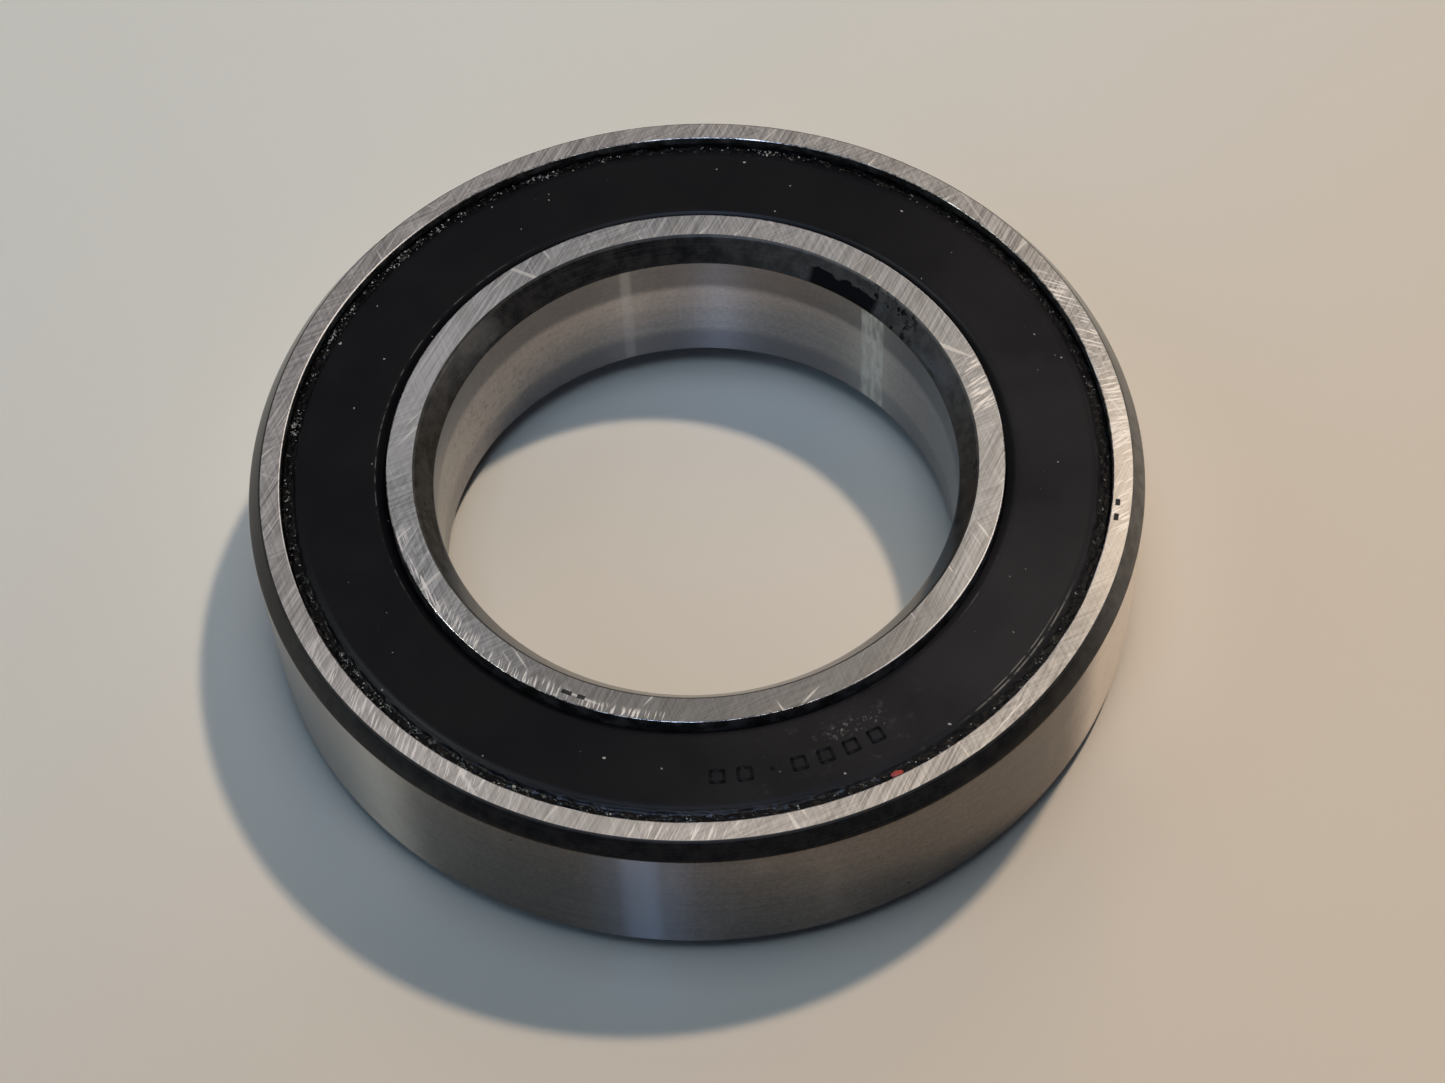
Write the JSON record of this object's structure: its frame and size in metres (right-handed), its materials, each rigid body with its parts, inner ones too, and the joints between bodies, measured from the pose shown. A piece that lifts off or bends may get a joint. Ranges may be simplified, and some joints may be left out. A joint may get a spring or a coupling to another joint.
{
  "type": "deep groove ball bearing",
  "caption": "Sealed single-row ball bearing: two ground steel rings with a plain bore, joined by balls in a riveted cage behind moulded rubber seals.",
  "frame": {"origin": "centre of the bearing: on its axis, halfway between the two side faces", "axes": "+Z along the bearing's axis towards the side with the marked face; +X and +Y are radial, and +X goes through the centre of the first ball"},
  "size_m": [0.068, 0.068, 0.015],
  "materials": {
    "ring_steel": "ground side faces, satin bore and outside, dark turned chamfers",
    "ball_steel": "polished bearing steel",
    "cage_steel": "pressed sheet steel",
    "rivet_steel": "headed steel rivets",
    "insert_steel": "dull pressed steel",
    "seal_rubber": "matte moulded nitrile rubber"
  },
  "bodies": {
    "outer": {"outer_ring": "ring_steel", "upper_seal_rubber": "seal_rubber", "upper_seal_insert": "insert_steel", "lower_seal_rubber": "seal_rubber", "lower_seal_insert": "insert_steel"},
    "inner": {"inner_ring": "ring_steel"},
    "cage": {"cage_half_upper": "cage_steel", "cage_half_lower": "cage_steel", "cage_rivet_01": "rivet_steel", "cage_rivet_02": "rivet_steel", "cage_rivet_03": "rivet_steel", "cage_rivet_04": "rivet_steel", "cage_rivet_05": "rivet_steel", "cage_rivet_06": "rivet_steel", "cage_rivet_07": "rivet_steel", "cage_rivet_08": "rivet_steel", "cage_rivet_09": "rivet_steel", "cage_rivet_10": "rivet_steel", "cage_rivet_11": "rivet_steel", "cage_rivet_12": "rivet_steel"},
    "ball_01": {"ball_01": "ball_steel"},
    "ball_02": {"ball_02": "ball_steel"},
    "ball_03": {"ball_03": "ball_steel"},
    "ball_04": {"ball_04": "ball_steel"},
    "ball_05": {"ball_05": "ball_steel"},
    "ball_06": {"ball_06": "ball_steel"},
    "ball_07": {"ball_07": "ball_steel"},
    "ball_08": {"ball_08": "ball_steel"},
    "ball_09": {"ball_09": "ball_steel"},
    "ball_10": {"ball_10": "ball_steel"},
    "ball_11": {"ball_11": "ball_steel"},
    "ball_12": {"ball_12": "ball_steel"}
  },
  "joints": [
    {"name": "inner_spin", "type": "hinge", "parent": "outer", "child": "inner", "pos_m": [0, 0, 0], "axis": [0, 0, 1], "continuous": true},
    {"name": "cage_spin", "type": "hinge", "parent": "outer", "child": "cage", "pos_m": [0, 0, 0], "axis": [0, 0, 1], "continuous": true},
    {"name": "ball_01_spin", "type": "hinge", "parent": "cage", "child": "ball_01", "pos_m": [0.027, 0, 0], "axis": [0, 0, 1], "continuous": true},
    {"name": "ball_02_spin", "type": "hinge", "parent": "cage", "child": "ball_02", "pos_m": [0.02338, 0.0135, 0], "axis": [0, 0, 1], "continuous": true},
    {"name": "ball_03_spin", "type": "hinge", "parent": "cage", "child": "ball_03", "pos_m": [0.0135, 0.02338, 0], "axis": [0, 0, 1], "continuous": true},
    {"name": "ball_04_spin", "type": "hinge", "parent": "cage", "child": "ball_04", "pos_m": [0, 0.027, 0], "axis": [0, 0, 1], "continuous": true},
    {"name": "ball_05_spin", "type": "hinge", "parent": "cage", "child": "ball_05", "pos_m": [-0.0135, 0.02338, 0], "axis": [0, 0, 1], "continuous": true},
    {"name": "ball_06_spin", "type": "hinge", "parent": "cage", "child": "ball_06", "pos_m": [-0.02338, 0.0135, 0], "axis": [0, 0, 1], "continuous": true},
    {"name": "ball_07_spin", "type": "hinge", "parent": "cage", "child": "ball_07", "pos_m": [-0.027, 0, 0], "axis": [0, 0, 1], "continuous": true},
    {"name": "ball_08_spin", "type": "hinge", "parent": "cage", "child": "ball_08", "pos_m": [-0.02338, -0.0135, 0], "axis": [0, 0, 1], "continuous": true},
    {"name": "ball_09_spin", "type": "hinge", "parent": "cage", "child": "ball_09", "pos_m": [-0.0135, -0.02338, 0], "axis": [0, 0, 1], "continuous": true},
    {"name": "ball_10_spin", "type": "hinge", "parent": "cage", "child": "ball_10", "pos_m": [0, -0.027, 0], "axis": [0, 0, 1], "continuous": true},
    {"name": "ball_11_spin", "type": "hinge", "parent": "cage", "child": "ball_11", "pos_m": [0.0135, -0.02338, 0], "axis": [0, 0, 1], "continuous": true},
    {"name": "ball_12_spin", "type": "hinge", "parent": "cage", "child": "ball_12", "pos_m": [0.02338, -0.0135, 0], "axis": [0, 0, 1], "continuous": true}
  ],
  "couplings": [
    {"joint": "cage_spin", "follows": "inner_spin", "ratio": 0.4265},
    {"joint": "ball_01_spin", "follows": "inner_spin", "ratio": -3.3278},
    {"joint": "ball_02_spin", "follows": "inner_spin", "ratio": -3.3278},
    {"joint": "ball_03_spin", "follows": "inner_spin", "ratio": -3.3278},
    {"joint": "ball_04_spin", "follows": "inner_spin", "ratio": -3.3278},
    {"joint": "ball_05_spin", "follows": "inner_spin", "ratio": -3.3278},
    {"joint": "ball_06_spin", "follows": "inner_spin", "ratio": -3.3278},
    {"joint": "ball_07_spin", "follows": "inner_spin", "ratio": -3.3278},
    {"joint": "ball_08_spin", "follows": "inner_spin", "ratio": -3.3278},
    {"joint": "ball_09_spin", "follows": "inner_spin", "ratio": -3.3278},
    {"joint": "ball_10_spin", "follows": "inner_spin", "ratio": -3.3278},
    {"joint": "ball_11_spin", "follows": "inner_spin", "ratio": -3.3278},
    {"joint": "ball_12_spin", "follows": "inner_spin", "ratio": -3.3278}
  ]
}
